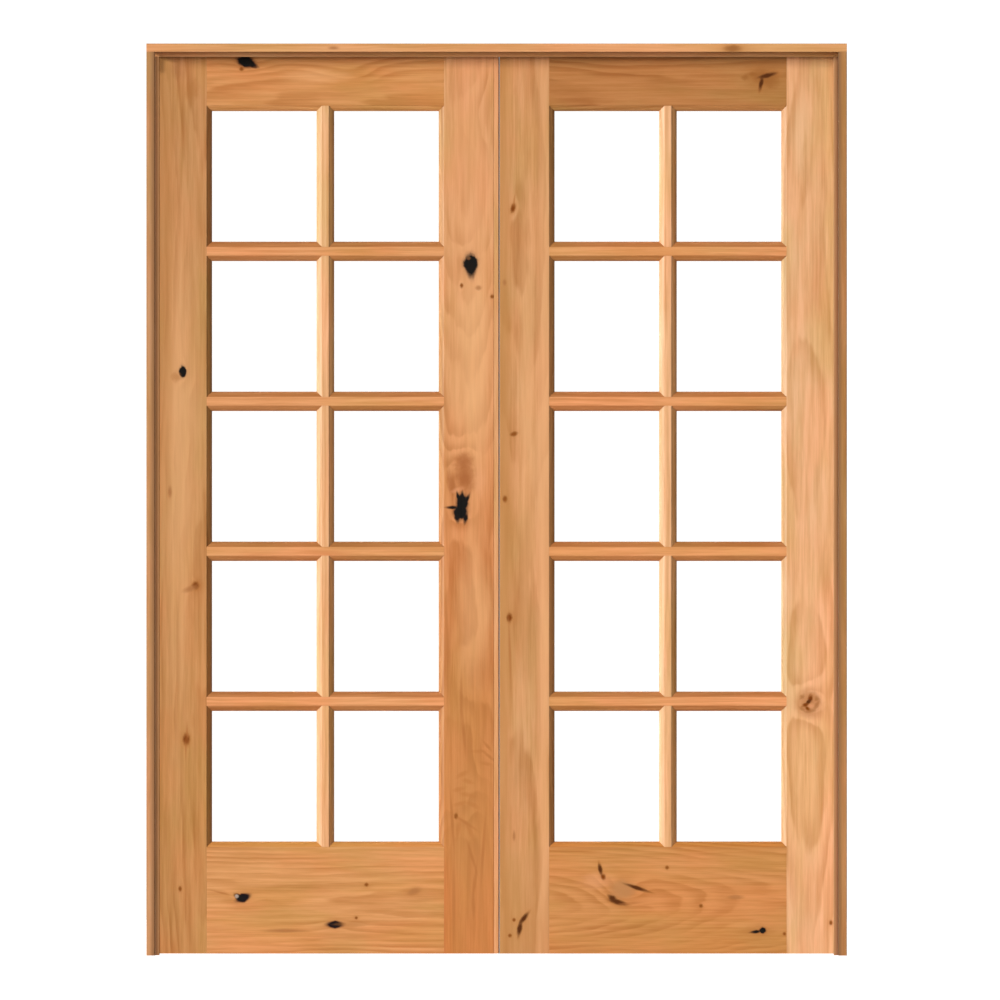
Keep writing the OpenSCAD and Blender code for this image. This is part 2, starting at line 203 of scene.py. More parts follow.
# One mark in a board: a dark core, a browner rim, a stain round it and a push on the rings.
# It is worked in plain numbers, across and along the board, so that a board has room for many.
def makeKnot():
    group, given, result = newGroup(
        "knot",
        [("Across", "Float", 0.0), ("Along", "Float", 0.0), ("Place X", "Float", 0.0),
         ("Place Z", "Float", 0.0), ("Width", "Float", 0.01), ("Length", "Float", 0.01),
         ("Cosine", "Float", 1.0), ("Sine", "Float", 0.0), ("Ragged", "Float", 0.3),
         ("Soft", "Float", 0.2), ("Pointed", "Float", 0.0), ("Halo", "Float", 2.2),
         ("Bend", "Float", 0.01)],
        [("Core", "Float"), ("Rim", "Float"), ("Halo", "Float"), ("Bend", "Float")])
    kit = markKit
    offX = calc(group, "SUBTRACT", given["Across"], given["Place X"])
    offZ = calc(group, "SUBTRACT", given["Along"], given["Place Z"])
    turnedX = calc(group, "ADD", calc(group, "MULTIPLY", offX, given["Cosine"]),
                   calc(group, "MULTIPLY", offZ, given["Sine"]))
    turnedZ = calc(group, "SUBTRACT", calc(group, "MULTIPLY", offZ, given["Cosine"]),
                   calc(group, "MULTIPLY", offX, given["Sine"]))
    spotX = calc(group, "DIVIDE", turnedX, given["Width"])
    spotZ = calc(group, "DIVIDE", turnedZ, given["Length"])
    seeded = put(group, "CombineXYZ", {
        "X": calc(group, "ADD", calc(group, "MULTIPLY", given["Place X"], kit["seedX"]), spotX),
        "Z": calc(group, "ADD", calc(group, "MULTIPLY", given["Place Z"], kit["seedZ"]), spotZ)})
    chips = centred(group, noise(group, seeded.outputs[0], *kit["chips"]))
    squareX = calc(group, "MULTIPLY", spotX, spotX)
    far = calc(group, "SQRT", calc(group, "ADD", squareX, calc(group, "MULTIPLY", spotZ, spotZ)))
    lens = calc(group, "ADD", calc(group, "ABSOLUTE", spotZ), squareX)
    shape = put(group, "Mix", {"Factor": given["Pointed"], "A": far, "B": lens}, data_type="FLOAT")
    edge = calc(group, "ADD", shape.outputs[0], calc(group, "MULTIPLY", chips, given["Ragged"]))
    outer = calc(group, "ADD", 1.0, given["Soft"])
    inner = calc(group, "SUBTRACT", 1.0, given["Soft"])
    group.links.new(fade(group, edge, inner, outer), result["Core"])
    rimEnd = calc(group, "ADD", outer, kit["rimSpread"])
    group.links.new(fade(group, edge, kit["rimStart"], rimEnd), result["Rim"])
    stain = calc(group, "ADD", far, calc(group, "MULTIPLY", chips, kit["chipsInStain"]))
    group.links.new(fade(group, stain, kit["stainStart"], given["Halo"]), result["Halo"])
    fall = calc(group, "MULTIPLY", calc(group, "MULTIPLY", far, far), kit["pushFall"])
    push = calc(group, "POWER", kit["pushBase"], fall)
    group.links.new(calc(group, "MULTIPLY", push, given["Bend"]), result["Bend"])
    return group


# A corner is full and ends where the rounded and the flat normal match this closely.
cornerKit = dict(samples=4, turned=(0.80, 0.995))


# Eased corners: a rounded normal, and a mask of where the corner is.
def makeSoftEdge():
    group, given, result = newGroup(
        "softEdge", [("Radius", "Float", 0.001)], [("Normal", "Vector"), ("Edge", "Float")])
    bevel = put(group, "Bevel", {"Radius": given["Radius"]}, samples=cornerKit["samples"]).outputs[0]
    flat = put(group, "NewGeometry").outputs["Normal"]
    match = put(group, "VectorMath", {0: bevel, 1: flat}, operation="DOT_PRODUCT").outputs["Value"]
    group.links.new(bevel, result["Normal"])
    group.links.new(fade(group, match, *cornerKit["turned"]), result["Edge"])
    return group


grainGroup = makeGrain()
knotGroup = makeKnot()
edgeGroup = makeSoftEdge()
print("shader groups made")


# Kinds of mark: the tones of core, rim and stain with their shares, how ragged, soft and pointed the
# core is, how far the stain reaches, and how hard the mark pushes the rings.
def markKind(core, share=1.0, rim=None, stain=(180, 112, 52), stainShare=0.3, ragged=0.3, soft=0.3,
             pointed=0.3, halo=2.2, bend=0.0):
    return dict(core=core, share=share, rim=rim, stain=stain, stainShare=stainShare, ragged=ragged,
                soft=soft, pointed=pointed, halo=halo, bend=bend)


knotKinds = {
    "black": markKind((9, 7, 4), 1.0, (96, 50, 20), (176, 108, 56), 0.40, ragged=0.75, soft=0.20,
                      bend=0.008),
    "lens": markKind((14, 4, 8), 1.0, (104, 52, 24), (176, 112, 60), 0.30, ragged=0.35, soft=0.28,
                     pointed=0.85, bend=0.006),
    "spike": markKind((16, 9, 4), 1.0, (108, 58, 24), stainShare=0.15, ragged=0.7, soft=0.6, pointed=0.7),
    "brown": markKind((122, 58, 0), 1.0, (162, 98, 34), stainShare=0.45, ragged=0.9, soft=0.65, halo=2.8,
                      bend=0.005),
    "dot": markKind((134, 70, 4), 0.95, stainShare=0.3, ragged=0.7, soft=0.6, pointed=0.1, halo=2.6,
                    bend=0.002),
    "smudge": markKind((146, 88, 32), 0.6, stainShare=0.0, ragged=1.5, soft=0.8),
    "faint": markKind((164, 104, 56), 0.7, stainShare=0.15, ragged=0.5, soft=0.7, pointed=0.1),
    "crack": markKind((84, 40, 0), 1.0, (146, 86, 30), stainShare=0.3, ragged=0.8, soft=0.65, pointed=0.6,
                      halo=2.6),
    "line": markKind((172, 104, 50), 0.62, stainShare=0.0, ragged=0.8, soft=0.9, pointed=0.5),
    "wave": markKind((178, 108, 52), 0.48, stainShare=0.0, ragged=1.6, soft=0.9, pointed=0.3),
    "flame": markKind((160, 90, 42), 0.62, stain=(184, 112, 56), stainShare=0.50, ragged=1.7, soft=0.8,
                      pointed=0.3, halo=1.9, bend=0.010),
    "body": markKind((180, 126, 76), 0.70, stain=(190, 122, 66), stainShare=0.45, ragged=1.0, soft=0.5,
                     halo=1.8, bend=0.008),
    "brownish": markKind((168, 106, 48), 0.5, stainShare=0.0, ragged=1.3, soft=0.8),
    "swirl": markKind((186, 126, 78), 0.55, stain=(196, 138, 90), stainShare=0.55, ragged=1.1, soft=0.8,
                      halo=1.8, bend=0.016),
    "eddy": markKind((200, 140, 80), 0.0, stainShare=0.0, bend=0.016),
    # painted highlight: a pale glint on a knot
    "paintedGlint": markKind((206, 186, 170), 0.6, stainShare=0.0, ragged=0.5, soft=0.5),
    "ember": markKind((118, 76, 44), 0.8, stainShare=0.0, ragged=0.6, soft=0.6),
    "olive": markKind((188, 130, 72), 0.5, stainShare=0.0, ragged=1.0, soft=0.8),
    "pink": markKind((226, 158, 110), 0.45, stainShare=0.0, ragged=1.0, soft=0.8),
    "light": markKind((232, 176, 122), 0.35, stainShare=0.0, ragged=1.2, soft=0.8),
    # painted shade fading: a paler strip where the painted shade on a stop ends
    "paintedShadeFade": markKind((186, 134, 86), 0.9, stainShare=0.0, ragged=0.0, soft=0.9, pointed=0.0),
    # painted shade: a dark strip along a jamb's inner edge
    "paintedShade": markKind((136, 94, 58), 0.9, stainShare=0.0, ragged=0.0, soft=0.9, pointed=0.0),
}


# A board: its tone, and the tone that it drifts to at its foot or right end; the way its grain runs;
# where its pith lies across and behind its face, and how far it sways; its ring width and how dark
# the rings are; a shift that makes its grain its own; the tint of painted light and shade that its
# moulded edges are multiplied by; planed as 1 or -1 where its right or left edge is bare wood with
# painted light on it;
# and its marks as kind, x, z, half width, half height and turn in degrees. Lengths are in metres, and
# places are on the closed unit.
def board(tone, run="up", pith=(0.0, 0.1), rings=0.011, depth=0.4, shift=0.0, drift=None, sway=0.03,
          moulded=(0.86, 0.94, 1.02), planed=0, marks=()):
    return dict(tone=tone, run=run, pith=pith, rings=rings, depth=depth, shift=(shift, 0.0, 0.0),
                drift=drift or tone, sway=sway, moulded=moulded, planed=planed, marks=marks)


boards = {
    "head_jamb": board((227, 166, 114), "level", (2.0, 0.05), 0.006, 0.35, 3.1, marks=[
        ("faint", -0.368, 2.047, 0.010, 0.0036, 0), ("brown", 0.533, 2.046, 0.0146, 0.0062, 0),
        ("olive", 0.545, 2.046, 0.050, 0.010, 0), ("light", -0.420, 2.042, 0.120, 0.003, 0)]),
    # painted shade: a dark strip along each jamb's inner edge
    "left_jamb": board((203, 150, 106), "up", (-0.8, 0.1), 0.006, 0.25, 7.7, marks=[
        ("paintedShade", -0.7712, 1.0, 0.0075, 9.0, 0)]),
    "right_jamb": board((182, 131, 81), "up", (0.8, 0.1), 0.006, 0.35, 1.9, marks=[
        ("paintedShade", 0.7712, 1.0, 0.0055, 9.0, 0)]),
    "head_stop": board((228, 170, 116), "level", (2.0, 0.05), 0.006, 0.2, 5.3),
    # painted shade: the stops have a dark tone where the reveal lies in shade, with a paler strip at the
    # inner edge where the painted shade fades
    "left_stop": board((135, 93, 58), "up", (-0.8, 0.1), 0.006, 0.2, 2.6, marks=[
        ("paintedShadeFade", -0.7600, 1.0, 0.0048, 9.0, 0)]),
    "right_stop": board((153, 107, 77), "up", (0.8, 0.1), 0.006, 0.2, 8.2, marks=[
        ("paintedShadeFade", 0.7600, 1.0, 0.0055, 9.0, 0)]),
    "meeting_strip": board((227, 167, 117), "up", (0.2, 0.1), 0.009, 0.2, 4.4, planed=1),
    "left_hinge_stile": board((202, 148, 96), "up", (-0.66, 0.09), 0.011, 0.76, 0.7,
                              drift=(202, 145, 88), marks=[
        ("light", -0.725, 1.05, 0.030, 0.50, 0), ("light", -0.705, 1.22, 0.040, 0.30, 0),
        ("olive", -0.748, 1.60, 0.018, 0.55, 0), ("black", -0.709, 1.3176, 0.0088, 0.0130, 0),
        ("brownish", -0.724, 1.306, 0.010, 0.010, 0), ("brown", -0.680, 0.835, 0.0070, 0.0070, 0),
        ("faint", -0.690, 0.828, 0.016, 0.006, 20), ("faint", -0.738, 1.046, 0.0043, 0.0113, 0),
        ("brown", -0.701, 0.4875, 0.0070, 0.0105, 0), ("line", -0.699, 0.505, 0.002, 0.020, 0),
        ("line", -0.702, 0.465, 0.002, 0.022, 0), ("dot", -0.715, 0.1495, 0.0036, 0.0054, 0),
        ("brownish", -0.687, 1.953, 0.016, 0.022, 0)]),
    "left_meeting_stile": board((223, 164, 114), "up", (-0.07, 0.09), 0.010, 0.92, 9.1,
                                drift=(206, 132, 72), sway=0.05, marks=[
        ("olive", -0.052, 0.30, 0.060, 0.35, 0), ("pink", -0.060, 1.80, 0.045, 0.30, 0),
        ("light", -0.060, 1.32, 0.050, 0.26, 0), ("light", -0.045, 1.34, 0.026, 0.20, 0),
        ("light", -0.052, 0.78, 0.036, 0.15, 0), ("black", -0.0584, 1.5625, 0.0168, 0.0205, 0),
        ("spike", -0.0578, 1.5480, 0.0110, 0.0170, 4), ("ember", -0.0636, 1.5740, 0.0045, 0.0040, 0),
        ("dot", -0.079, 1.512, 0.0036, 0.0050, 0), ("faint", -0.041, 1.507, 0.0060, 0.0050, 0),
        ("dot", -0.010, 1.487, 0.0040, 0.0040, 0), ("flame", -0.0697, 1.0800, 0.0200, 0.0330, 0),
        ("pink", -0.038, 1.070, 0.012, 0.030, 0), ("flame", -0.0760, 1.1150, 0.0180, 0.0160, 30),
        ("flame", -0.0720, 1.0740, 0.0100, 0.0150, 0), ("flame", -0.1000, 1.0600, 0.0090, 0.0260, 12),
        ("pink", -0.0900, 1.0500, 0.0120, 0.0050, 20), ("black", -0.0778, 1.0210, 0.0130, 0.0190, 0),
        ("black", -0.0822, 1.0010, 0.0150, 0.0165, 0), ("spike", -0.0998, 1.0108, 0.0110, 0.0036, 0),
        ("spike", -0.0872, 1.0350, 0.0034, 0.0100, 12), ("spike", -0.0775, 1.0362, 0.0034, 0.0098, 0),
        ("spike", -0.0672, 1.0290, 0.0040, 0.0110, -25), ("spike", -0.0895, 0.9880, 0.0055, 0.0090, 10),
        ("spike", -0.0700, 0.9870, 0.0050, 0.0100, -8), ("eddy", -0.088, 0.350, 0.018, 0.026, 0),
        ("eddy", -0.030, 0.440, 0.016, 0.026, 0), ("eddy", -0.060, 0.620, 0.014, 0.040, 0),
        ("eddy", -0.040, 1.900, 0.016, 0.030, 0), ("dot", -0.0917, 0.314, 0.0040, 0.0060, 0),
        ("line", -0.070, 0.299, 0.0260, 0.0036, -34), ("line", -0.0213, 0.4724, 0.0125, 0.0034, -49),
        ("wave", -0.041, 0.460, 0.016, 0.0040, 0), ("line", -0.0185, 0.450, 0.0170, 0.0034, -40),
        ("wave", -0.024, 0.432, 0.0120, 0.0040, -12), ("line", -0.0798, 0.578, 0.0034, 0.050, 0),
        ("line", -0.0740, 0.500, 0.0034, 0.040, 5), ("wave", -0.078, 0.408, 0.0130, 0.0050, 28),
        ("wave", -0.064, 0.392, 0.0120, 0.0048, -16), ("wave", -0.086, 0.374, 0.0120, 0.0048, 14),
        ("wave", -0.066, 0.362, 0.0150, 0.0050, -10), ("wave", -0.082, 0.342, 0.0140, 0.0048, 16),
        ("wave", -0.052, 0.338, 0.0130, 0.0050, -26), ("wave", -0.060, 0.280, 0.0050, 0.0180, 24),
        ("wave", -0.086, 0.286, 0.0046, 0.0200, -10), ("line", -0.097, 0.120, 0.0036, 0.100, 0),
        ("line", -0.100, 0.300, 0.0032, 0.060, 4), ("line", -0.0555, 0.221, 0.0036, 0.030, 17),
        ("line", -0.050, 0.160, 0.0036, 0.040, -7), ("line", -0.052, 0.108, 0.0036, 0.022, 0),
        ("line", -0.030, 0.240, 0.0034, 0.070, -4)]),
    "left_top_rail": board((215, 151, 93), "level", (1.93, 0.08), 0.010, 0.66, 6.2, sway=0.05,
                           moulded=(1.05, 1.07, 1.07), marks=[
        ("black", -0.567, 2.0180, 0.0190, 0.0125, -15), ("spike", -0.552, 2.0110, 0.0110, 0.0060, -25),
        ("dot", -0.576, 2.0015, 0.0045, 0.0045, 0), ("light", -0.400, 1.985, 0.060, 0.014, 0),
        ("eddy", -0.330, 1.990, 0.030, 0.014, 0)]),
    "left_bottom_rail": board((219, 157, 100), "level", (0.11, 0.06), 0.010, 0.72, 2.2, sway=0.05,
                              moulded=(1.0, 0.93, 0.72), marks=[
        ("lens", -0.573, 0.1290, 0.0150, 0.0100, 20), ("spike", -0.583, 0.131, 0.009, 0.006, -35),
        ("paintedGlint", -0.587, 0.1326, 0.0042, 0.0042, 0), ("line", -0.620, 0.140, 0.022, 0.0022, -14),
        ("lens", -0.365, 0.0688, 0.0170, 0.0085, 0), ("brownish", -0.325, 0.070, 0.030, 0.006, 0),
        ("dot", -0.294, 0.159, 0.004, 0.004, 0), ("faint", -0.478, 0.055, 0.040, 0.004, 0),
        ("faint", -0.186, 0.144, 0.014, 0.007, 20), ("dot", -0.317, 0.084, 0.003, 0.003, 0)]),
    "right_meeting_stile": board((211, 156, 106), "up", (0.05, 0.12), 0.012, 0.85, 5.9, planed=-1,
                                 marks=[
        ("olive", 0.016, 1.10, 0.020, 1.10, 0), ("olive", 0.012, 1.05, 0.012, 1.10, 0),
        ("olive", 0.050, 0.08, 0.060, 0.14, 0), ("pink", 0.105, 1.00, 0.014, 0.90, 0),
        ("light", 0.108, 1.00, 0.014, 1.00, 0), ("light", 0.070, 1.20, 0.020, 0.50, 0),
        ("brown", 0.037, 1.687, 0.0046, 0.0085, -15), ("line", 0.040, 1.706, 0.002, 0.014, -8),
        ("faint", 0.018, 1.519, 0.004, 0.006, 0), ("dot", 0.0389, 1.177, 0.0079, 0.0048, 15),
        ("dot", 0.0187, 1.030, 0.0050, 0.0070, 0), ("brown", 0.0288, 0.762, 0.0060, 0.0088, 0),
        ("line", 0.030, 0.682, 0.0030, 0.070, 2), ("faint", 0.0395, 0.269, 0.003, 0.010, 0),
        ("crack", 0.0616, 0.083, 0.0050, 0.0140, -37), ("crack", 0.0521, 0.060, 0.0054, 0.0155, -10),
        ("dot", 0.0393, 0.0794, 0.0038, 0.0038, 0), ("dot", 0.0300, 0.0440, 0.0040, 0.0040, 0)]),
    "right_top_rail": board((186, 130, 75), "level", (1.95, 0.08), 0.010, 0.90, 1.2, sway=0.05,
                            moulded=(1.05, 1.07, 1.07), marks=[
        ("brownish", 0.606, 1.984, 0.045, 0.034, 0), ("smudge", 0.600, 1.986, 0.026, 0.016, 10),
        ("smudge", 0.618, 1.972, 0.018, 0.014, 0), ("crack", 0.611, 1.9865, 0.0185, 0.0052, 14),
        ("crack", 0.5975, 1.9690, 0.0046, 0.0140, -12), ("smudge", 0.576, 1.990, 0.0110, 0.0045, 0),
        ("smudge", 0.561, 1.982, 0.0070, 0.0060, 0)]),
    "right_bottom_rail": board((209, 145, 86), "level", (0.12, 0.06), 0.010, 0.66, 8.8, sway=0.05,
                               moulded=(1.0, 0.93, 0.72), marks=[
        ("pink", 0.225, 0.168, 0.030, 0.016, 0), ("body", 0.283, 0.148, 0.026, 0.021, 0),
        ("eddy", 0.283, 0.148, 0.020, 0.016, 0), ("crack", 0.234, 0.1937, 0.0042, 0.0115, 12),
        ("brown", 0.2406, 0.1765, 0.0048, 0.0058, 20), ("crack", 0.316, 0.1520, 0.0237, 0.0040, -18),
        ("crack", 0.262, 0.1280, 0.0095, 0.0060, -32), ("crack", 0.274, 0.1195, 0.0170, 0.0052, -14),
        ("line", 0.305, 0.117, 0.0220, 0.0030, 4), ("dot", 0.385, 0.1975, 0.004, 0.004, 0),
        ("dot", 0.4615, 0.111, 0.004, 0.004, 0), ("faint", 0.540, 0.1305, 0.0150, 0.0050, 0),
        ("brownish", 0.592, 0.056, 0.030, 0.012, 0), ("black", 0.601, 0.0557, 0.0070, 0.0070, 0),
        ("spike", 0.586, 0.0527, 0.0110, 0.0036, 6), ("dot", 0.650, 0.048, 0.0034, 0.0034, 0)]),
    "right_hinge_stile": board((229, 180, 134), "up", (0.70, 0.07), 0.014, 0.68, 3.6,
                               drift=(235, 184, 140), marks=[
        ("swirl", 0.7065, 0.5680, 0.0240, 0.0240, 0), ("swirl", 0.7060, 0.5740, 0.0150, 0.0150, 0),
        ("smudge", 0.7240, 0.5780, 0.0055, 0.0065, 30), ("smudge", 0.7230, 0.5640, 0.0045, 0.0090, -35),
        ("smudge", 0.7080, 0.5510, 0.0110, 0.0040, 12), ("smudge", 0.6900, 0.5560, 0.0070, 0.0040, -35),
        ("smudge", 0.6900, 0.5830, 0.0060, 0.0045, 50), ("pink", 0.7100, 0.5630, 0.0060, 0.0050, 0),
        ("brown", 0.7085, 0.5790, 0.0052, 0.0078, -8), ("crack", 0.7040, 0.5715, 0.0042, 0.0085, -40),
        ("brown", 0.6975, 0.5650, 0.0062, 0.0042, 20), ("brown", 0.7020, 0.5570, 0.0050, 0.0036, -35),
        ("eddy", 0.700, 1.500, 0.020, 0.080, 0), ("eddy", 0.715, 0.900, 0.018, 0.060, 0),
        ("dot", 0.755, 0.073, 0.0036, 0.0050, 0)]),
}
bars = {
    # painted light and shade on the bars' mouldings: a paler tint on the upright bars as painted
    # highlight, a darker one on the level bars' up and down faces as painted shade
    "upright": board((237, 183, 136), "up", (0.0, 0.11), 0.011, 0.5, 2.9, moulded=(0.93, 1.04, 1.14)),
    "level": board((230, 162, 109), "level", (1.0, 0.11), 0.011, 0.5, 6.6, moulded=(0.66, 0.59, 0.46)),
}


# The finish on the wood. Late wood, streaks, clouds, fibres, painted light and shade on the mouldings and
# painted highlights on the corners are each multiplied over a board's own tone, and a mask starts and is
# full at its two values.
finish = dict(
    late=(0.76, 0.65, 0.49), streak=(0.84, 0.775, 0.645), pink=(1.05, 0.965, 0.95),
    olive=(0.91, 0.955, 0.82), fibre=(0.93, 0.90, 0.86), paintedShadeRight=(0.83, 0.67, 0.46),
    bare=(255, 208, 146), paintedEdgeHighlight=(1.10, 1.12, 1.15), edgeRadius=0.0012,
    streakShare=0.9, fibreShare=0.5, rimShare=0.7, paintedEdgeHighlightShare=0.6,
    mouldedMask=(0.90, 0.995), paintedShadeRightMask=(0.25, 0.50), planedMask=(0.90, 0.99),
    roughness=0.42, fibreRough=0.10, knotRough=0.45, gloss=0.25,
    fibreHeight=0.4, ringHeight=0.3, knotSunk=0.7, bumpStrength=0.25, bumpDepth=0.0003)


def placeMarks(tree, look, across, along):
    # every mark of a board with its kind, and their push on the rings together
    knots, push = [], 0.0
    lying = look["run"] == "level"
    for kind, x, z, wide, high, turn in look["marks"]:
        kit = knotKinds[kind]
        placeX, placeZ, width, length = (z, x, high, wide) if lying else (x, z, wide, high)
        # pointed marks are drawn along the grain, so a mark wider than it is long is quarter turned
        lean = -turn if lying else turn
        if length < width:
            width, length, lean = length, width, lean + 90
        mark = useGroup(tree, knotGroup, {
            "Across": across, "Along": along, "Place X": placeX, "Place Z": placeZ,
            "Width": width, "Length": length, "Cosine": math.cos(math.radians(lean)),
            "Sine": math.sin(math.radians(lean)), "Ragged": kit["ragged"], "Soft": kit["soft"],
            "Pointed": kit["pointed"], "Halo": kit["halo"], "Bend": kit["bend"]})
        knots.append((mark, kit))
        if kit["bend"]:
            push = calc(tree, "ADD", mark["Bend"], push)
    return knots, push


def paintGrain(tree, look, colour, grain):
    colour = tint(tree, colour, grain["Cloud"], finish["pink"])
    colour = tint(tree, colour, grain["Patch"], finish["olive"])
    colour = tint(tree, colour, grain["Streak"], finish["streak"], finish["streakShare"])
    colour = tint(tree, colour, grain["Rings"], finish["late"], look["depth"])
    return tint(tree, colour, grain["Fibre"], finish["fibre"], finish["fibreShare"])


def paintKnots(tree, colour, knots):
    # stains and rims go under all the cores, and a core with a rim is an open knot
    for mark, kit in knots:
        if kit["stainShare"]:
            stained = calc(tree, "MULTIPLY", mark["Halo"], kit["stainShare"])
            colour = blend(tree, stained, colour, linear(kit["stain"]))
        if kit["rim"]:
            rimmed = calc(tree, "MULTIPLY", mark["Rim"], finish["rimShare"])
            colour = blend(tree, rimmed, colour, linear(kit["rim"]))
    opened = 0.0
    for mark, kit in knots:
        if kit["share"]:
            core = calc(tree, "MULTIPLY", mark["Core"], kit["share"])
            colour = blend(tree, core, colour, linear(kit["core"]))
            if kit["rim"]:
                opened = calc(tree, "MAXIMUM", core, opened)
    return colour, opened


def paintFaces(tree, look, colour, normal):
    faces = put(tree, "SeparateXYZ", {0: normal}).outputs
    # painted light and shade on the moulded edges: each board's own tint over them, and painted shade,
    # darker still, on every face that looks to the right
    facing = calc(tree, "ABSOLUTE", faces["Y"])
    colour = tint(tree, colour, fade(tree, facing, *finish["mouldedMask"]), look["moulded"])
    colour = tint(tree, colour, ease(tree, faces["X"], *finish["paintedShadeRightMask"]), finish["paintedShadeRight"])
    if look["planed"]:
        # the meeting edges were planed after the finish went on and are bare wood, given a tone paler
        # still as painted light in the shaded gap between the leaves
        planed = calc(tree, "MULTIPLY", faces["X"], look["planed"])
        colour = blend(tree, ease(tree, planed, *finish["planedMask"]), colour, linear(finish["bare"]))
    return colour


def giveTooth(tree, shader, grain, opened, normal):
    # fibres and open knots are duller, late wood stands a little proud and open knots are sunk
    rough = calc(tree, "ADD", finish["roughness"],
                 calc(tree, "MULTIPLY", grain["Fibre"], finish["fibreRough"]))
    rough = calc(tree, "ADD", rough, calc(tree, "MULTIPLY", opened, finish["knotRough"]))
    tree.links.new(rough, shader["Roughness"])
    height = calc(tree, "ADD", calc(tree, "MULTIPLY", grain["Fibre"], finish["fibreHeight"]),
                  calc(tree, "MULTIPLY", grain["Rings"], finish["ringHeight"]))
    if not isinstance(opened, float):
        height = calc(tree, "SUBTRACT", height, calc(tree, "MULTIPLY", opened, finish["knotSunk"]))
    bump = put(tree, "Bump", {"Strength": finish["bumpStrength"], "Distance": finish["bumpDepth"],
                              "Height": height, "Normal": normal})
    tree.links.new(bump.outputs[0], shader["Normal"])


def boardMaterial(name, look, span=(0.0, 1.0)):
    material, tree, shader = newMaterial(name)
    coords = put(tree, "TexCoord").outputs
    lying = look["run"] == "level"
    # level boards are turned so that their grain runs along z, as in the groups
    place = put(tree, "SeparateXYZ", {0: coords["Object"]}).outputs
    order = ("Z", "Y", "X") if lying else ("X", "Y", "Z")
    turned = {axis: place[source] for axis, source in zip("XYZ", order)}
    vector = put(tree, "CombineXYZ", turned).outputs[0]
    knots, push = placeMarks(tree, look, turned["X"], turned["Z"])
    grain = useGroup(tree, grainGroup, {
        "Vector": vector, "Pith X": look["pith"][0], "Pith Depth": look["pith"][1],
        "Sway": look["sway"], "Ring Width": look["rings"], "Bend": push, "Shift": look["shift"]})
    colour = linear(look["tone"])
    if look["drift"] != look["tone"]:
        # from the top down, or from left to right
        first, last = span if lying else reversed(span)
        colour = blend(tree, ease(tree, turned["Z"], first, last), colour, linear(look["drift"]))
    colour = paintGrain(tree, look, colour, grain)
    colour, opened = paintKnots(tree, colour, knots)
    colour = paintFaces(tree, look, colour, coords["Normal"])
    edge = useGroup(tree, edgeGroup, {"Radius": finish["edgeRadius"]})
    # painted highlight: the eased corners are made paler
    colour = tint(tree, colour, edge["Edge"], finish["paintedEdgeHighlight"], finish["paintedEdgeHighlightShare"])
    tree.links.new(colour, shader["Base Color"])
    giveTooth(tree, shader, grain, opened, edge["Normal"])
    shader["Specular IOR Level"].default_value = finish["gloss"]
    return material


for nodeName, look in boards.items():
    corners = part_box(nodeName)
    grainAxis = 0 if look["run"] == "level" else 2
    dress(nodeName, boardMaterial("alder_" + nodeName, look, [corner[grainAxis] for corner in corners]))
uprightWood = boardMaterial("alder_upright_bars", bars["upright"])
levelWood = boardMaterial("alder_level_bars", bars["level"])
for nodeName in nodes:
    if "upright_bar" in nodeName or "glazing_beads" in nodeName:
        dress(nodeName, uprightWood)
    elif "level_bar" in nodeName:
        dress(nodeName, levelWood)
print("boards dressed:", len(boards), "of their own")


clearGlass = dict(tone=(0.985, 0.995, 0.99, 1.0), roughness=0.0, ior=1.45, ripple=((3, 3, 2), 1.0),
                  bumpStrength=0.02, bumpDepth=0.002)


def glassMaterial():
    material, tree, shader = newMaterial("clear_glass")
    place = put(tree, "TexCoord").outputs["Object"]
    ripple = drawnNoise(tree, place, *clearGlass["ripple"])
    bump = put(tree, "Bump", {"Strength": clearGlass["bumpStrength"],
                              "Distance": clearGlass["bumpDepth"], "Height": ripple})
    shader["Base Color"].default_value = clearGlass["tone"]
    shader["Roughness"].default_value = clearGlass["roughness"]
    shader["IOR"].default_value = clearGlass["ior"]
    shader["Transmission Weight"].default_value = 1.0
    tree.links.new(bump.outputs[0], shader["Normal"])
    return material


# The hinges' bronze is rubbed bright at the edges. Four values are where the mottle starts and is
# full, and how rubbed the edge is there.
bronze = dict(dark=(46, 36, 30), worn=(150, 100, 62), metallic=0.85, edgeRadius=0.0006,
              mottle=((160, 160, 160), 3.0, 0.6), mottleMask=(0.3, 0.7), mottleShare=0.12,
              rubbed=(0.2, 0.9, 0.35, 0.9), roughness=0.42, rubbedSmoother=0.12, mottleRough=0.08,
              bumpStrength=0.15, bumpDepth=0.0002)


def bronzeMaterial():
    material, tree, shader = newMaterial("dark_bronze")
    place = put(tree, "TexCoord").outputs["Object"]
    mottle = ease(tree, drawnNoise(tree, place, *bronze["mottle"]), *bronze["mottleMask"])
    edge = useGroup(tree, edgeGroup, {"Radius": bronze["edgeRadius"]})
    rubbed = calc(tree, "MULTIPLY", edge["Edge"], ease(tree, mottle, *bronze["rubbed"]))
    tone = blend(tree, calc(tree, "MULTIPLY", mottle, bronze["mottleShare"]),
                 linear(bronze["dark"]), linear(bronze["worn"]))
    tree.links.new(blend(tree, rubbed, tone, linear(bronze["worn"])), shader["Base Color"])
    rough = calc(tree, "SUBTRACT", bronze["roughness"],
                 calc(tree, "MULTIPLY", rubbed, bronze["rubbedSmoother"]))
    rough = calc(tree, "ADD", rough, calc(tree, "MULTIPLY", mottle, bronze["mottleRough"]))
    tree.links.new(rough, shader["Roughness"])
    bump = put(tree, "Bump", {"Strength": bronze["bumpStrength"], "Distance": bronze["bumpDepth"],
                              "Height": mottle, "Normal": edge["Normal"]})
    tree.links.new(bump.outputs[0], shader["Normal"])
    shader["Metallic"].default_value = bronze["metallic"]
    return material


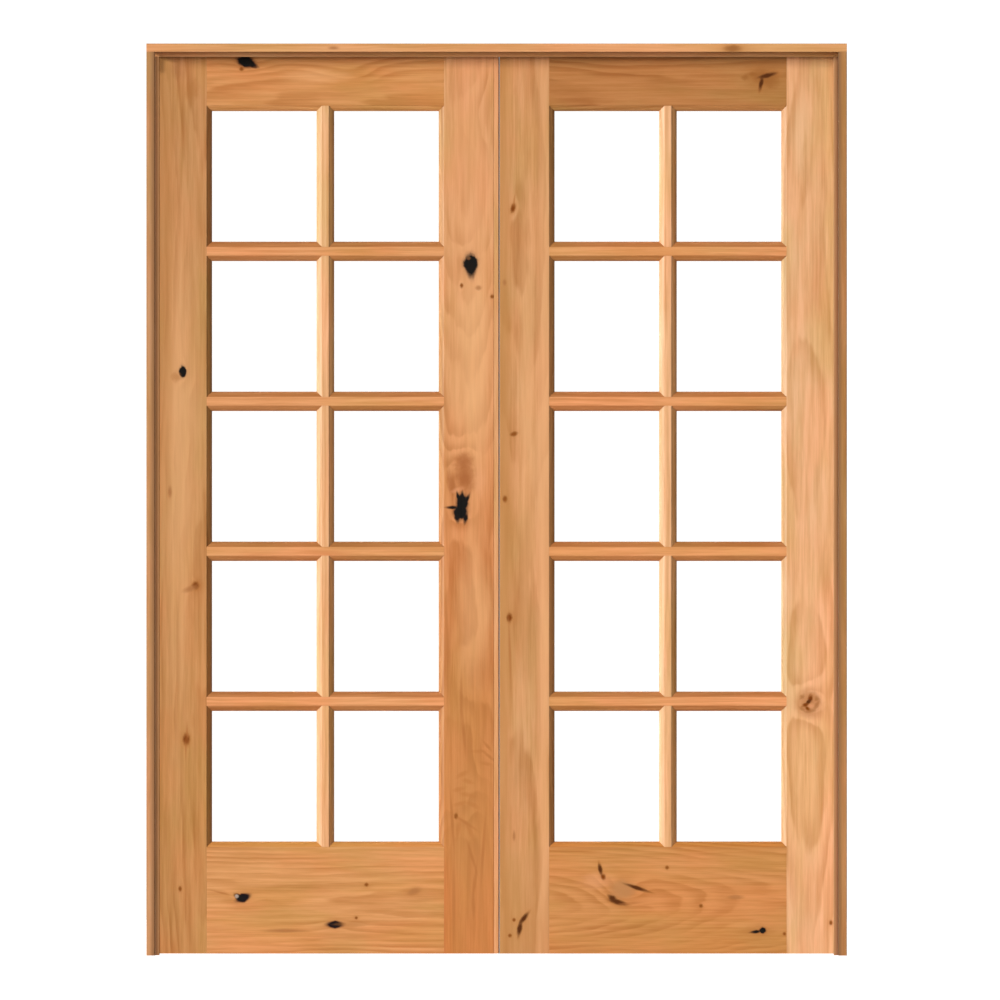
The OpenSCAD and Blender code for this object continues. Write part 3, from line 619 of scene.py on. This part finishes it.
# Four values are where the spangle starts and is full, and the roughness there.
brightZinc = dict(dull=(168, 168, 166), bright=(205, 206, 204), metallic=1.0,
                  spangle=((700, 700, 700), 2.0), spangleMask=(0.3, 0.7),
                  roughness=(0.2, 0.8, 0.28, 0.42))


def zincMaterial():
    material, tree, shader = newMaterial("bright_zinc")
    place = put(tree, "TexCoord").outputs["Object"]
    spangle = drawnNoise(tree, place, *brightZinc["spangle"])
    tone = blend(tree, ease(tree, spangle, *brightZinc["spangleMask"]),
                 linear(brightZinc["dull"]), linear(brightZinc["bright"]))
    tree.links.new(tone, shader["Base Color"])
    tree.links.new(ease(tree, spangle, *brightZinc["roughness"]), shader["Roughness"])
    shader["Metallic"].default_value = brightZinc["metallic"]
    return material


glass = glassMaterial()
bronzeFinish = bronzeMaterial()
zinc = zincMaterial()
dowelLook = board((206, 172, 126), "level", (0.5, 0.2), 0.003, 0.3, 1.1)
dowelWood = boardMaterial("dowel_wood", dowelLook)
for nodeName, piece in nodes.items():
    if "panes" in nodeName:
        dress(nodeName, glass)
        piece.visible_shadow = False
    elif "hinge" in nodeName and "hinge_stile" not in nodeName:
        dress(nodeName, bronzeFinish)
    elif nodeName == "frame_screws":
        dress(nodeName, zinc)
    elif "dowels" in nodeName:
        dress(nodeName, dowelWood)
print("glass and metal dressed")


# Floor, lights and camera. Each glow has its strength by bounced light and as seen straight on.
low, high = cadBox
centreZ = (low.z + high.z) / 2
studio = dict(
    floorSize=5.2, floorSides=96, floorTone=(0.70, 0.70, 0.70, 1.0), floorRough=0.9,
    floorGlow=(0.03, 0.85), white=(1.0, 1.0, 1.0, 1.0),
    keyStrength=3.4, keyAngle=16.0, keyTowards=(0.72, 0.67, -0.185),
    fillStrength=1.6, fillAngle=25.0, fillTowards=(0.45, -0.75, -0.5),
    skyGlow=(0.30, 1.12), distance=60.0, wide=2.2555, aimX=0.0076, aimZ=-0.001,
    sensor=36.0, farClip=400.0)


def seenStraight(tree):
    # the floor and backdrop show white straight on and through glass, and light the wood more softly
    rays = put(tree, "LightPath").outputs
    seen = calc(tree, "MAXIMUM", rays["Is Camera Ray"], rays["Is Transmission Ray"])
    return calc(tree, "SUBTRACT", seen, rays["Diffuse Depth"], clamp=True)


bpy.ops.object.select_all(action="DESELECT")
bpy.ops.mesh.primitive_circle_add(vertices=studio["floorSides"], radius=studio["floorSize"],
                                  fill_type="NGON", location=(0, 0, 0))
floor = bpy.context.object
floor.name = "studio_floor"
floorPaint, tree, shader = newMaterial("pale_floor")
shader["Base Color"].default_value = studio["floorTone"]
shader["Roughness"].default_value = studio["floorRough"]
shader["Emission Color"].default_value = studio["white"]
tree.links.new(ease(tree, seenStraight(tree), 0.0, 1.0, *studio["floorGlow"]),
               shader["Emission Strength"])
floor.data.materials.append(floorPaint)


def addSun(name, strength, angle, towards):
    data = bpy.data.lights.new(name, "SUN")
    data.energy = strength
    data.angle = math.radians(angle)
    lamp = bpy.data.objects.new(name, data)
    lamp.rotation_mode = "QUATERNION"
    lamp.rotation_quaternion = Vector(towards).to_track_quat("-Z", "Y")
    bpy.context.scene.collection.objects.link(lamp)
    return lamp


key = addSun("key_from_the_left", studio["keyStrength"], studio["keyAngle"], studio["keyTowards"])
# the near jamb is flagged off the key, so that its deep reveal doesn't put the leaf beside it in shadow
flags = bpy.data.collections.new("flagged_off_the_key")
for nodeName in ("left_jamb", "left_stop"):
    flags.objects.link(nodes[nodeName])
for flagged in flags.collection_objects:
    flagged.light_linking.link_state = "EXCLUDE"
key.light_linking.blocker_collection = flags
addSun("fill_from_behind", studio["fillStrength"], studio["fillAngle"], studio["fillTowards"])

world = bpy.data.worlds.new("white_studio")
bpy.context.scene.world = world
world.use_nodes = True
sky = world.node_tree
sky.nodes.clear()
power = ease(sky, seenStraight(sky), 0.0, 1.0, *studio["skyGlow"])
glow = put(sky, "Background", {"Color": studio["white"], "Strength": power})
sky.links.new(glow.outputs[0], put(sky, "OutputWorld").inputs["Surface"])

lensData = bpy.data.cameras.new("front_camera")
lensData.sensor_width = studio["sensor"]
lensData.lens = studio["sensor"] * studio["distance"] / studio["wide"]
lensData.clip_end = studio["farClip"]
camera = bpy.data.objects.new("front_camera", lensData)
camera.location = (studio["aimX"], low.y - studio["distance"], centreZ + studio["aimZ"])
camera.rotation_euler = (math.radians(90), 0, 0)
bpy.context.scene.collection.objects.link(camera)
bpy.context.scene.camera = camera
bpy.context.scene.view_settings.view_transform = "Standard"
print("studio set")
